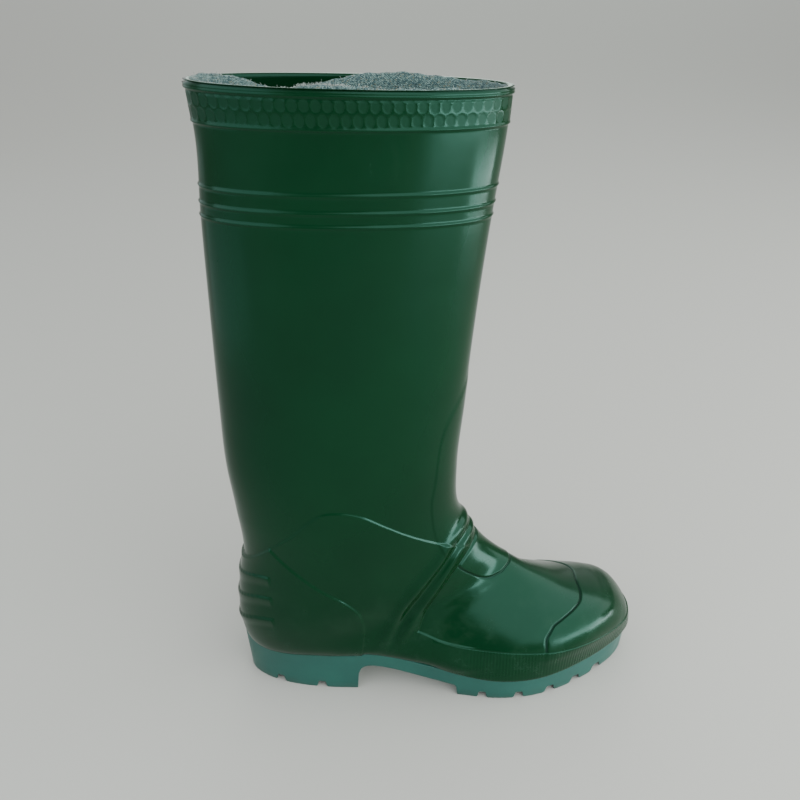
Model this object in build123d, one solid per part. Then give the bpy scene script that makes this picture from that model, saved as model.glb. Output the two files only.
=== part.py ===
from build123d import *
import os
from math import atan2, cos, degrees, hypot, pi, sin

# A tall moulded rain boot for the right foot, standing on the floor. All sizes in mm.
# +X points to the toe, +Y to the inner (medial) side, +Z up; the origin is on the floor,
# in the middle of the footprint.

# ---- wall and lining -------------------------------------------------------
WALL = 3.0              # moulded upper
LINING = 1.4            # knitted sock that lines the whole inside
LINING_STANDS = 3.0     # lining edge above the rim
CUT_ABOVE = 14.0        # how far a cutting core runs past the rim

# ---- shape of the upper ----------------------------------------------------
# Sections through the boot, from the rim down the leg, fanning round the heel and out to
# the toe. Each runs from a back or bottom point to a front or top point of the centre plane.
# (back x, back z, front x, front z, half width, centre y, widest at, back power, front power)
SECTIONS = [
    (-139.0, 409.0, 28.6, 404.6, 31.0, 1.0, 0.50, 2.1, 2.2),
    (-136.8, 384.0, 26.8, 382.0, 31.0, 1.0, 0.50, 2.1, 2.2),
    (-138.6, 340.0, 21.2, 338.0, 31.5, 0.5, 0.50, 2.1, 2.2),
    (-140.0, 285.0, 15.4, 283.0, 33.0, 0.0, 0.49, 2.1, 2.1),
    (-141.3, 225.0, 10.2, 219.0, 34.5, 0.0, 0.48, 2.1, 2.1),
    (-141.4, 180.0, 6.9, 174.0, 35.5, 0.0, 0.47, 2.2, 2.1),
    (-138.6, 146.0, 8.4, 143.0, 35.5, 0.0, 0.46, 2.2, 2.1),
    (-136.6, 112.0, 16.6, 126.0, 35.0, 0.0, 0.45, 2.2, 2.0),
    (-141.0, 80.0, 25.0, 112.5, 34.5, 0.0, 0.43, 2.2, 2.0),
    (-142.2, 50.0, 33.0, 103.5, 34.5, 0.0, 0.40, 2.2, 2.0),
    (-136.5, 31.0, 41.0, 96.5, 34.0, 0.5, 0.36, 2.2, 2.0),
    (-105.0, 27.0, 50.0, 90.5, 34.0, 0.0, 0.32, 2.5, 2.0),
    (-65.0, 28.5, 60.0, 84.5, 34.2, -1.5, 0.28, 2.6, 2.0),
    (-28.0, 24.0, 73.0, 78.0, 39.5, -1.2, 0.28, 2.7, 2.0),
    (5.0, 16.0, 88.5, 71.0, 45.6, -0.9, 0.30, 2.8, 2.1),
    (40.0, 10.5, 104.0, 65.5, 46.8, 0.7, 0.34, 2.8, 2.2),
    (72.0, 11.0, 117.0, 60.5, 42.3, 4.3, 0.38, 2.7, 2.3),
    (98.0, 13.5, 127.0, 55.0, 36.0, 8.5, 0.42, 2.6, 2.3),
    (116.0, 17.0, 134.0, 48.0, 28.4, 10.6, 0.46, 2.4, 2.3),
    (128.0, 21.0, 139.0, 40.5, 20.5, 11.2, 0.50, 2.2, 2.2),
    (134.0, 24.0, 140.5, 37.0, 14.5, 11.2, 0.50, 2.2, 2.2),
]
ROWS = 70               # fitted points along the boot
COLUMNS = 48            # fitted points round it
FIT = 0.05              # closeness of the fitted skin to those points

# ---- relief on the upper ---------------------------------------------------
BEAD_TALL = 3.8         # thick bead round the rim
BEAD_OUT = 1.2
BAND_TALL = 15.2        # patterned band under the bead
BAND_OUT = 0.5
RIB_DROPS = [51.0, 60.1, 67.3]          # thin ribs round the leg, below the rim
RIB_TALL = 2.6
RIB_OUT = 0.8
RIB_ROOT = 1.5          # how deep a rib is rooted in the wall
BAR_HEIGHTS = [93.8, 72.9, 55.2]        # kick-off bars across the back of the heel
BAR_RISE = 14.0         # degrees each bar rises towards the front
BAR_TALL = 5.0
BAR_OUT = 1.3
BAR_FRONT = -117.0
CAP_OUT = 0.9           # toe cap stands proud of the vamp
FLEX_OUT = 1.4          # soft ridges across the instep
FLEX_WIDE = 5.0
FLEX_LINES = [((-39.0, 58.0), (12.9, 129.6)), ((-28.9, 53.0), (17.5, 122.4))]
CAP_EDGE = [(66.0, 20.0), (68.5, 42.2), (70.0, 54.5), (76.0, 59.6), (89.2, 63.4), (99.0, 90.0)]

# ---- outsole ---------------------------------------------------------------
# Plan outline of the sole: (x, outer edge y, inner edge y), heel to toe.
OUTLINE = [
    (-140.5, -8.0, 10.0), (-133.0, -15.5, 17.5), (-122.0, -22.0, 24.0),
    (-104.0, -28.0, 30.0), (-85.0, -31.5, 33.0), (-62.0, -33.5, 34.0),
    (-38.0, -35.2, 33.0), (-12.0, -39.0, 35.5), (10.0, -43.5, 41.0),
    (36.0, -48.0, 46.5), (62.0, -47.0, 48.5), (84.0, -40.8, 47.0),
    (103.0, -32.0, 46.0), (119.0, -22.5, 41.5), (132.0, -12.5, 34.0),
    (140.0, -2.5, 25.0),
]
HEEL_BACK = (-143.5, 1.0)
TOE_TIP = (143.2, 11.0)
TOP_EDGE = [             # height of the sole's edge along the boot
    (-150.0, 34.0), (-120.0, 37.5), (-90.0, 38.5), (-58.0, 37.0), (-33.0, 32.8),
    (-14.0, 27.3), (12.0, 23.0), (40.0, 20.5), (66.0, 20.5), (92.0, 22.3),
    (120.0, 24.0), (150.0, 26.0),
]
RAND_TOP = [             # top of the ribbed rand round the forefoot
    (-21.0, 57.0), (-4.0, 50.0), (14.0, 46.4), (40.0, 44.6), (66.0, 43.4),
    (92.0, 42.4), (120.0, 40.0), (150.0, 36.0),
]
RAND_FOOT = (-33.0, 20.0)
RAND_OUT = 0.6          # the rand overhangs the sole by this much
SOLE_DRAFT = 3.0        # the sole narrows by this much on each side to the floor
HEEL_BREAST = -62.0     # front of the heel block
ARCH = [(-56.0, 24.0), (-45.0, 23.0), (-28.0, 18.5), (-11.0, 13.6), (6.0, 10.0)]
TREAD_BACK = 9.0        # the forefoot tread starts here
TREAD_DEEP = 5.6        # depth of every tread groove
GROOVE_WIDE = 5.6
HEEL_GROOVES = [-118.5, -88.0]
FORE_GROOVES = [35.5, 62.5, 85.5, 104.5, 120.5]
GROOVE_LEAN = 11.0      # degrees each half groove leans back from the middle
TOE_SPRING = 2.5

# ---- insole ----------------------------------------------------------------
FOOTBED = [              # top of the insole along the boot
    (-150.0, 38.0), (-105.0, 36.0), (-65.0, 36.5), (-28.0, 32.5), (5.0, 25.5),
    (40.0, 20.5), (72.0, 20.5), (98.0, 22.5), (128.0, 28.0), (150.0, 32.0),
]


def inset(section, depth):
    """The same section moved in from the surface by depth."""
    bx, bz, fx, fz, half, mid, widest, nb, nf = section
    span = hypot(fx - bx, fz - bz)
    ux = (fx - bx) / span
    uz = (fz - bz) / span
    return (bx + ux * depth, bz + uz * depth, fx - ux * depth, fz - uz * depth,
            half - depth, mid, widest, nb, nf)


def lifted(section, rise):
    bx, bz, fx, fz, half, mid, widest, nb, nf = section
    return (bx, bz + rise, fx, fz + rise, half, mid, widest, nb, nf)


def power(value, n):
    """A signed power, for the rounded-off ellipse of a section."""
    return (1 if value >= 0 else -1) * abs(value) ** (2 / n)


def ring_point(section, turn):
    """A point of a section; turn 0 is its front, a half turn its back."""
    bx, bz, fx, fz, half, mid, widest, nb, nf = section
    forward = round(cos(turn), 12)
    n = nf if forward > 0 else nb
    reach = power(forward, n)
    along = widest + (1 - widest if reach > 0 else widest) * reach
    aside = half * power(round(sin(turn), 12), n)
    return Vector(bx + (fx - bx) * along, mid + aside, bz + (fz - bz) * along)


def ring(section):
    """A section as a closed smooth wire that starts at the boot's side."""
    turns = [2 * pi * (k / COLUMNS + 0.23) for k in range(COLUMNS)]
    points = [ring_point(section, turn) for turn in turns]
    return Wire([Edge.make_spline(points, periodic=True)])


def between(sections, marks, mark):
    """The section at a distance along the boot, on a smooth curve through the listed ones."""
    k = 0
    while k < len(marks) - 2 and mark > marks[k + 1]:
        k += 1
    gaps = [b - a for a, b in zip(marks, marks[1:])]
    t = (mark - marks[k]) / gaps[k]
    values = []
    for row in zip(*sections):
        grades = [(b - a) / gap for a, b, gap in zip(row, row[1:], gaps)]
        start, end = grades[k], grades[k]
        if k > 0:
            start = (grades[k - 1] * gaps[k] + grades[k] * gaps[k - 1]) / (gaps[k - 1] + gaps[k])
        if k < len(grades) - 1:
            end = (grades[k] * gaps[k + 1] + grades[k + 1] * gaps[k]) / (gaps[k] + gaps[k + 1])
        values.append((1 + 2 * t) * (1 - t) ** 2 * row[k] + t * (1 - t) ** 2 * gaps[k] * start
                      + t * t * (3 - 2 * t) * row[k + 1] + t * t * (t - 1) * gaps[k] * end)
    return values


def distances(sections):
    """How far along the boot's middle line each section is from the first."""
    marks = [0.0]
    for a, b in zip(sections, sections[1:]):
        step = hypot(a[0] + a[2] - b[0] - b[2], a[1] + a[3] - b[1] - b[3]) / 2
        marks.append(marks[-1] + step)
    return marks


def boot_form(depth, rise=0.0):
    """The whole boot form as one solid, inset by depth and carried up past the rim by rise."""
    sections = [inset(s, depth) for s in SECTIONS[:-1]]
    bx, bz, fx, fz, half, mid, widest, nb, nf = inset(SECTIONS[-1], min(depth, 3.5))
    back = max(depth, 0)
    sections.append((bx - back, bz, fx - back, fz, half, mid, widest, nb, nf))
    if rise > 0:
        sections.insert(0, lifted(sections[0], rise))
    marks = distances(sections)
    grid = []
    for row in range(ROWS + 1):
        section = between(sections, marks, marks[-1] * row / ROWS)
        turns = [2 * pi * (k % COLUMNS) / COLUMNS for k in range(COLUMNS + 1)]
        grid.append([ring_point(section, turn) for turn in turns])
    skin = Face.make_surface_from_array_of_points(grid, tol=FIT, min_deg=3, max_deg=3)
    ends = [edge for edge in skin.edges() if (edge @ 0 - edge @ 1).length < 0.001]
    return Solid(Shell([skin] + [Face(Wire([edge])) for edge in ends]))


def leg_band(rings):
    """A solid through the leg from (distance below the rim, distance out) pairs."""
    marks = distances(SECTIONS)
    wires = [ring(inset(between(SECTIONS, marks, drop), -out)) for drop, out in rings]
    return Solid.make_loft(wires, ruled=True)


def sole_points(out):
    """The plan outline, moved out by a distance square to itself."""
    loop = [HEEL_BACK] + [(x, y) for x, y, _ in OUTLINE] + [TOE_TIP]
    loop += [(x, y) for x, _, y in reversed(OUTLINE)]
    moved = []
    for k, (x, y) in enumerate(loop):
        ax, ay = loop[k - 1]
        bx, by = loop[(k + 1) % len(loop)]
        length = hypot(bx - ax, by - ay)
        moved.append((x + out * (by - ay) / length, y - out * (bx - ax) / length))
    return moved


def sole_wire(out, z):
    points = [Vector(x, y, z) for x, y in sole_points(out)]
    return Wire([Edge.make_spline(points, periodic=True)])


def side_slab(edges):
    """A closed side profile run right across the boot."""
    with BuildPart() as slab:
        with BuildSketch(Plane.XZ):
            with BuildLine():
                for edge in edges:
                    if len(edge) == 2:
                        Line(*edge)
                    else:
                        Spline(*edge)
            make_face()
        extrude(amount=70, both=True)
    return slab.part


def sole_profile():
    top = TOP_EDGE[-1]
    back = TOP_EDGE[0]
    breast_foot = (HEEL_BREAST, 0)
    tread = (TREAD_BACK, 1.5)
    return side_slab([
        TOP_EDGE,
        [top, (top[0], TOE_SPRING)],
        [(top[0], TOE_SPRING), (118.0, 0.8), (95.0, 0.0)],
        [(95.0, 0.0), (TREAD_BACK + 2, 0)],
        [(TREAD_BACK + 2, 0), tread],
        [tread, ARCH[-1]],
        list(reversed(ARCH)),
        [ARCH[0], (HEEL_BREAST + 1.5, 21.0)],
        [(HEEL_BREAST + 1.5, 21.0), breast_foot],
        [breast_foot, (back[0], 0)],
        [(back[0], 0), back],
    ])


def under_edge():
    """Everything lower than the sole's edge line."""
    low = -10.0
    return side_slab([TOP_EDGE, [TOP_EDGE[-1], (TOP_EDGE[-1][0], low)],
                      [(TOP_EDGE[-1][0], low), (TOP_EDGE[0][0], low)],
                      [(TOP_EDGE[0][0], low), TOP_EDGE[0]]])


def build_rand():
    wall = Solid.make_loft([sole_wire(RAND_OUT, 5), sole_wire(RAND_OUT, 70)], ruled=True)
    foot = (RAND_TOP[-1][0], RAND_FOOT[1])
    zone = side_slab([RAND_TOP, [RAND_TOP[-1], foot], [foot, RAND_FOOT], [RAND_FOOT, RAND_TOP[0]]])
    return (wall & zone) - under_edge()


def groove(x, lean, reach=60.0):
    """A chevron groove across the tread, its middle at x."""
    cutter = Part()
    for side in (-1, 1):
        bar = Box(GROOVE_WIDE, reach, 2 * TREAD_DEEP)
        bar = Pos(0, side * reach / 2, 0) * bar
        cutter += Pos(x, 4, 0) * Rot(0, 0, side * lean) * bar
    return cutter


def heel_groove(x):
    return Pos(x, 0, 0) * Box(GROOVE_WIDE, 100, 2 * TREAD_DEEP)


def kick_bars(skin):
    bars = Part()
    for height in BAR_HEIGHTS:
        box = Box(60, 100, BAR_TALL)
        bars += skin & (Pos(BAR_FRONT - 30, 0, height) * Rot(0, -BAR_RISE, 0) * box)
    return bars


def toe_cap(skin):
    ahead = 160.0
    top, low = CAP_EDGE[-1], CAP_EDGE[0]
    return skin & side_slab([CAP_EDGE, [top, (ahead, top[1])], [(ahead, top[1]), (ahead, low[1])],
                             [(ahead, low[1]), low]])


def flex_ridges(skin):
    ridges = Part()
    for (low_x, low_z), (top_x, top_z) in FLEX_LINES:
        lean = degrees(atan2(top_x - low_x, top_z - low_z))
        length = hypot(top_x - low_x, top_z - low_z)
        bar = Box(FLEX_WIDE, 120, length + 12)
        middle = Pos((low_x + top_x) / 2, 0, (low_z + top_z) / 2 + 5)
        ridges += skin & (middle * Rot(0, lean, 0) * bar)
    return ridges


def build_upper(form):
    band_end = BEAD_TALL + BAND_TALL
    body = form + leg_band([(0.0, BEAD_OUT), (BEAD_TALL, BEAD_OUT), (BEAD_TALL + 0.6, BAND_OUT),
                            (band_end - 1.2, BAND_OUT), (band_end - 0.6, RIB_OUT),
                            (band_end + 0.4, RIB_OUT), (band_end + 1.4, -RIB_ROOT)])
    for drop in RIB_DROPS:
        edge, crest = RIB_TALL / 2, RIB_TALL / 5
        body += leg_band([(drop - edge, -RIB_ROOT), (drop - crest, RIB_OUT),
                          (drop + crest, RIB_OUT), (drop + edge, -RIB_ROOT)])
    body += kick_bars(boot_form(-BAR_OUT))
    body += toe_cap(boot_form(-CAP_OUT))
    body += flex_ridges(boot_form(-FLEX_OUT))
    body += build_rand()
    return body


def build_outsole():
    block = Solid.make_loft([sole_wire(-SOLE_DRAFT, 0), sole_wire(0, 45)], ruled=True)
    sole = block & sole_profile()
    for x in HEEL_GROOVES:
        sole -= heel_groove(x)
    for x in FORE_GROOVES:
        sole -= groove(x, GROOVE_LEAN)
    return sole


solid_upper = build_upper(boot_form(0.0))
cavity = boot_form(WALL, rise=CUT_ABOVE)
inner = boot_form(WALL + LINING, rise=CUT_ABOVE)
back_x, back_z, front_x, front_z = SECTIONS[0][:4]
slope = (front_z - back_z) / (front_x - back_x)
cut_left = (-200.0, back_z + LINING_STANDS + slope * (-200.0 - back_x))
cut_right = (200.0, front_z + LINING_STANDS + slope * (200.0 - front_x))
below_cut = side_slab([[cut_left, cut_right], [cut_right, (200, -10)], [(200, -10), (-200, -10)],
                       [(-200, -10), cut_left]])

upper = solid_upper - cavity
outsole = build_outsole() - solid_upper
lining = (cavity & below_cut) - inner
bed_end, bed_start = FOOTBED[-1], FOOTBED[0]
bed = side_slab([FOOTBED, [bed_end, (bed_end[0], 5)], [(bed_end[0], 5), (bed_start[0], 5)],
                 [(bed_start[0], 5), bed_start]])
insole = inner & bed

PIECES = {"upper": upper, "outsole": outsole, "lining": lining, "insole": insole}

os.makedirs("parts", exist_ok=True)
for name, piece in PIECES.items():
    solids = piece.solids()
    print(name, len(solids), "solid(s)", round(piece.volume), "mm3", piece.is_valid)
    export_step(max(solids, key=lambda s: s.volume), "parts/" + name + ".step")
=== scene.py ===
from math import cos, pi, radians, sin, tan

import bmesh
import bpy
import numpy as np
from mathutils import Matrix, Vector
from mathutils.bvhtree import BVHTree


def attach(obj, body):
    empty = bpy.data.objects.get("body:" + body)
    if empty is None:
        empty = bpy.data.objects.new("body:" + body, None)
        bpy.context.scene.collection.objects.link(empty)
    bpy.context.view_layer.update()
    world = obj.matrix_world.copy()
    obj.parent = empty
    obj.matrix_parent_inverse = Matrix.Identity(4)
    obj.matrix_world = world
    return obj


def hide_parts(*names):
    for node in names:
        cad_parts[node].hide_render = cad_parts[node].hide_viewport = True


# A tall moulded rain boot. Shapes are worked out in mm in the model's own frame: +X to the
# toe, +Y to the inner side, +Z up, the floor at z = 0. Meshes are made in metres.
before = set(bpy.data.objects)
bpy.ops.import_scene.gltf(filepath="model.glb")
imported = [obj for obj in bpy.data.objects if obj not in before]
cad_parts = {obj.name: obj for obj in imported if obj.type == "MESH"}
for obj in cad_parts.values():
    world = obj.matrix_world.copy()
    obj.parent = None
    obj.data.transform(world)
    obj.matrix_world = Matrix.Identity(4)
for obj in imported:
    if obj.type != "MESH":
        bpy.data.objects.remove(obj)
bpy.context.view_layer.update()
MM = 0.001

# ---- the boot form, as in the CAD model --------------------------------------------------
WALL = 3.0
LINING = 1.4
# (back x, back z, front x, front z, half width, centre y, widest at, back power, front power)
SECTIONS = np.array([
    (-139.0, 409.0, 28.6, 404.6, 31.0, 1.0, 0.50, 2.1, 2.2),
    (-136.8, 384.0, 26.8, 382.0, 31.0, 1.0, 0.50, 2.1, 2.2),
    (-138.6, 340.0, 21.2, 338.0, 31.5, 0.5, 0.50, 2.1, 2.2),
    (-140.0, 285.0, 15.4, 283.0, 33.0, 0.0, 0.49, 2.1, 2.1),
    (-141.3, 225.0, 10.2, 219.0, 34.5, 0.0, 0.48, 2.1, 2.1),
    (-141.4, 180.0, 6.9, 174.0, 35.5, 0.0, 0.47, 2.2, 2.1),
    (-138.6, 146.0, 8.4, 143.0, 35.5, 0.0, 0.46, 2.2, 2.1),
    (-136.6, 112.0, 16.6, 126.0, 35.0, 0.0, 0.45, 2.2, 2.0),
    (-141.0, 80.0, 25.0, 112.5, 34.5, 0.0, 0.43, 2.2, 2.0),
    (-142.2, 50.0, 33.0, 103.5, 34.5, 0.0, 0.40, 2.2, 2.0),
    (-136.5, 31.0, 41.0, 96.5, 34.0, 0.5, 0.36, 2.2, 2.0),
    (-105.0, 27.0, 50.0, 90.5, 34.0, 0.0, 0.32, 2.5, 2.0),
    (-65.0, 28.5, 60.0, 84.5, 34.2, -1.5, 0.28, 2.6, 2.0),
    (-28.0, 24.0, 73.0, 78.0, 39.5, -1.2, 0.28, 2.7, 2.0),
    (5.0, 16.0, 88.5, 71.0, 45.6, -0.9, 0.30, 2.8, 2.1),
    (40.0, 10.5, 104.0, 65.5, 46.8, 0.7, 0.34, 2.8, 2.2),
    (72.0, 11.0, 117.0, 60.5, 42.3, 4.3, 0.38, 2.7, 2.3),
    (98.0, 13.5, 127.0, 55.0, 36.0, 8.5, 0.42, 2.6, 2.3),
    (116.0, 17.0, 134.0, 48.0, 28.4, 10.6, 0.46, 2.4, 2.3),
    (128.0, 21.0, 139.0, 40.5, 20.5, 11.2, 0.50, 2.2, 2.2),
    (134.0, 24.0, 140.5, 37.0, 14.5, 11.2, 0.50, 2.2, 2.2),
])
# Plan outline of the sole: (x, outer edge y, inner edge y), heel to toe.
OUTLINE = [
    (-140.5, -8.0, 10.0), (-133.0, -15.5, 17.5), (-122.0, -22.0, 24.0),
    (-104.0, -28.0, 30.0), (-85.0, -31.5, 33.0), (-62.0, -33.5, 34.0),
    (-38.0, -35.2, 33.0), (-12.0, -39.0, 35.5), (10.0, -43.5, 41.0),
    (36.0, -48.0, 46.5), (62.0, -47.0, 48.5), (84.0, -40.8, 47.0),
    (103.0, -32.0, 46.0), (119.0, -22.5, 41.5), (132.0, -12.5, 34.0),
    (140.0, -2.5, 25.0),
]
HEEL_BACK = (-143.5, 1.0)
TOE_TIP = (143.2, 11.0)
TOP_EDGE = [             # height of the sole's edge along the boot
    (-150.0, 34.0), (-120.0, 37.5), (-90.0, 38.5), (-58.0, 37.0), (-33.0, 32.8),
    (-14.0, 27.3), (12.0, 23.0), (40.0, 20.5), (66.0, 20.5), (92.0, 22.3),
    (120.0, 24.0), (150.0, 26.0),
]
RAND_TOP = [             # top of the ribbed rand round the forefoot
    (-40.0, 62.0), (-21.0, 57.0), (-4.0, 50.0), (14.0, 46.4), (40.0, 44.6), (66.0, 43.4),
    (92.0, 42.4), (120.0, 40.0), (150.0, 36.0),
]
FOOTBED = [              # top of the insole along the boot
    (-150.0, 38.0), (-105.0, 36.0), (-65.0, 36.5), (-28.0, 32.5), (5.0, 25.5),
    (40.0, 20.5), (72.0, 20.5), (98.0, 22.5), (128.0, 28.0), (150.0, 32.0),
]

# ---- moulded relief, as (x, z) lines on the boot's side ----------------------------------
# Most points of the nine lines from GAITER to TONGUE were picked on the photo by eye and carried
# onto the boot form by a helper program; its printed results stand here, rounded.
GAITER = [(-150, 95), (-137, 107.5), (-125, 118.5), (-114.6, 129), (-99.9, 142), (-88.5, 154),
          (-79.5, 160), (-72.7, 160.7), (-64, 159.7), (-55.4, 156.8), (-42.4, 148.4),
          (-26, 137.2), (-8.1, 126.2), (20, 112)]
COUNTER = [(-132, 146), (-114, 126.6), (-108.7, 120.4), (-99.4, 111), (-84.4, 97.7),
           (-66.4, 84.5), (-60, 77.3), (-56.8, 67.3), (-58, 37.5), (-58.5, 10)]
SHIN = [(14, 262), (10.6, 238), (-3.5, 210), (-9.6, 167), (-10.8, 160), (-10.2, 143.5),
        (-6.9, 127), (0, 110)]
RIDGE_BACK = [(20, 134), (12.9, 129.6), (3.7, 123.5), (-4.6, 111.5), (-18, 94.7), (-30, 77.4),
              (-39, 58), (-46, 40)]
CREASE = [(22, 129.5), (16, 125.4), (6.6, 118.6), (-3, 106.3), (-14.6, 89.6), (-26, 71.9),
          (-33.7, 56.4), (-40, 40)]
RIDGE_FRONT = [(25, 126.5), (17.5, 122.4), (9.5, 115), (1, 103.5), (-9.7, 86.6), (-20.5, 69.4),
               (-28.9, 53), (-35, 38)]
VAMP_EDGE = [(29, 122), (19.3, 115), (10.3, 106.4), (-4.2, 86.9), (-14.3, 70.4), (-20, 54.5),
             (-24, 38)]
# Lines over the top of the foot, as (distance from the middle, x).
CAP_EDGE = [(0, 97.3), (6, 97.8), (13.9, 97.6), (19, 95.6), (25.4, 89.2), (31.4, 80),
            (34.4, 74.7), (37.6, 71.5), (39.5, 69.5), (45, 68.9), (52, 68.8)]
TONGUE = [(0, 47.0), (4.5, 46.3), (8.5, 43.5), (14, 36.6), (17.6, 26.4), (18.9, 19),
          (19.9, 13.9), (21.5, 5)]

QUARTER_UP = 0.75        # the quarter stands this far above the leg
SHIN_UP = 0.45
COUNTER_UP = 0.9
TONGUE_UP = 0.75
CAP_UP = 0.40
# Ridges and grooves: (height or depth, half width).
RIDGES = ((1.9, 4.2), (2.0, 3.7))   # back and front
CREASE_CUT = (0.45, 2.2)
VAMP_CUT = (0.35, 1.0)
TONGUE_CUT = (0.45, 0.65)
CAP_CUT = (0.85, 0.60)
TONGUE_HALF = 21.5       # from the middle to the tongue's side
SIDE_REACH = 52.0        # from the middle to the end of the cap's edge

BEAD_TALL = 3.8
BEAD_OUT = 1.2
BEAD_CUTS = ((2.0, 0.45, 0.55), (BEAD_TALL + 0.9, 0.35, 0.6))   # (below the rim, depth, half width)
BAND_TALL = 15.2
BAND_OUT = 0.5
BAND_LIP = 0.45          # raised lower edge of the band
RIB_OUT = 0.65
RIB_HALF = 0.72
RIB_DROPS = (51.0, 60.1, 67.3)
DOTS_ROUND = 66          # ovals in each of the band's two rows
DOT_ROWS = (BEAD_TALL + 3.85, BEAD_TALL + 10.75)
DOT_TALL = 6.4
DOT_HALF = 0.455         # half an oval's width, as a share of the space it has
DOT_DEEP = 0.15
FOOT_STARTS = (150, 170) # the foot's relief fades in between these distances below the rim
BAR_TOPS = (103.9, 87.0, 68.6)      # at the bars' front ends; they sink towards the back
BAR_SINK = 10.5
BAR_LONG = 24.0          # length over which they sink that far
BAR_TALL = 5.0
BAR_OUT = 0.95
BAR_FRONT = -117.0
# The rolled rim, from the inner wall over to the bead: (below the rim, out of the boot form).
RIM = ((1.5, -3.0), (0.7, -2.85), (0.2, -2.4), (0.0, -1.7), (0.0, -0.5), (0.12, 0.3),
       (0.45, 0.85), (0.9, 1.12))

# ---- outsole -----------------------------------------------------------------------------
RAND_OUT = 0.6
RAND_LEDGE = 0.6         # the rand's top edge stands this far out of the upper
RAND_CLEAR = 14.0        # how far outside the sole's outline the looks inwards start
RAND_BACK = -14          # x where the rand's two ends are
RAND_RIB = 0.07          # height of the fine upright ribs on the rand
RAND_PITCH = 2.25        # their spacing
RAND_STEPS = 6           # mesh columns per rib
SOLE_DRAFT = 3.0
SOLE_RISE = 45.0         # height over which the sole's side drafts in
SOLE_STEP = 2.2          # spacing of the sole's sections along its outer edge
HEEL_BREAST = -62.0
ARCH = [(-60.2, 18.3), (-59.2, 20.6), (-57.3, 22.6), (-54.6, 23.7), (-51, 23.9), (-45, 23.0),
        (-36, 20.9), (-28, 18.5), (-19, 15.9), (-11, 13.6), (-3, 11.7), (4, 10.3), (7.6, 9.4)]
TREAD_BACK = 9.0
TOE_SPRING = [(60, 0), (80, 0), (95, 0.0), (118, 0.8), (150, 2.5)]
HEEL_GROOVES = (-118.5, -88.0)
FORE_GROOVES = (35.5, 62.5, 85.5, 104.5, 120.5)
GROOVE_HALF = 3.6        # this far from a groove's middle the sole is shaded darker
GROOVE_LEAN = radians(11)
GROOVE_MIDDLE_Y = 4.0
# One side of a groove: (from its middle, height).
GROOVE_SIDE = ((4.9, 0.0), (4.3, 0.10), (3.8, 0.45), (3.3, 1.3), (2.7, 4.4), (2.35, 5.2), (1.7, 5.6))

# ---- lining and insole -------------------------------------------------------------------
LINING_COLUMNS = 360
LINING_SHORT = 6.0       # the sock ends this far before the form's toe end
LINING_GIRTH = 380.0     # girth that its stitches are laid out for
STITCH_WIDE = 1.45
STITCH_TALL = 1.2
FRAYED_TURNS = (4.25, 4.7)          # where round the rim the lining's edge is frayed most
FRAYED_FIBRES = 360
OTHER_FIBRES = 260
FIBRE_STEPS = 6
FIBRE_SIDES = 3
INSOLE_THICK = 3.6
INSOLE_DISH = 1.3
INSOLE_GAP = 0.25        # between the insole and the sock, on each side


# ---- small maths -------------------------------------------------------------------------
def smooth(value, start, end):
    """0 before start, 1 after end, and a soft step between."""
    t = np.clip((value - start) / (end - start), 0.0, 1.0)
    return t * t * (3 - 2 * t)


def hump(value, wide):
    """1 at zero, falling away on both sides."""
    return np.exp(-(value / wide) ** 2)


def through(points, at):
    """A smooth curve through points of growing first value, read at the values in at."""
    points = np.asarray(points, float)
    marks, values = points[:, 0], points[:, 1:]
    gaps = np.diff(marks)
    grades = np.diff(values, axis=0) / gaps[:, None]
    before, after = gaps[:-1, None], gaps[1:, None]
    inner = (grades[:-1] * after + grades[1:] * before) / (before + after)
    slopes = np.vstack([grades[:1], inner, grades[-1:]])
    k = np.clip(np.searchsorted(marks, at, side="right") - 1, 0, len(gaps) - 1)
    gap = gaps[k][..., None]
    t = ((at - marks[k]) / gaps[k])[..., None]
    return ((1 + 2 * t) * (1 - t) ** 2 * values[k] + t * (1 - t) ** 2 * gap * slopes[k]
            + t * t * (3 - 2 * t) * values[k + 1] + t * t * (t - 1) * gap * slopes[k + 1])


def height(line, x):
    """The height of a side line at x."""
    x = np.asarray(x, float)
    return through(line, np.clip(x, line[0][0], line[-1][0]))[..., 0]


def softened(line, spacing=3.0):
    """The same line as a fine smooth polyline."""
    line = np.asarray(line, float)
    marks = np.r_[0, np.cumsum(np.hypot(*np.diff(line, axis=0).T))]
    count = int(marks[-1] / spacing) + 2
    return through(np.column_stack([marks, line]), np.linspace(0, marks[-1], count))


def off_line(line, a, b):
    """Signed distance of the points (a, b) from a line; positive on its right-hand side."""
    line = softened(line)
    best = np.full(a.shape, 1e9)
    signed = np.zeros(a.shape)
    for (ax, az), (bx, bz) in zip(line, line[1:]):
        dx, dz = bx - ax, bz - az
        length = np.hypot(dx, dz)
        t = np.clip(((a - ax) * dx + (b - az) * dz) / length ** 2, 0, 1)
        gap = np.hypot(a - ax - t * dx, b - az - t * dz)
        side = (a - ax) * dz - (b - az) * dx
        closer = gap < best
        best = np.where(closer, gap, best)
        signed = np.where(closer, np.where(side >= 0, gap, -gap), signed)
    return signed


# ---- the boot form as a grid -------------------------------------------------------------
def section_marks():
    """How far along the boot's middle line each section is from the first."""
    middle = (SECTIONS[:, 0:2] + SECTIONS[:, 2:4]) / 2
    return np.r_[0, np.cumsum(np.hypot(*np.diff(middle, axis=0).T))]


MARKS = section_marks()
LONG = MARKS[-1]
COLUMNS = 560            # mesh columns round the upper


def sections_at(marks):
    return through(np.column_stack([MARKS, SECTIONS]), np.clip(marks, -20, LONG))


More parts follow.
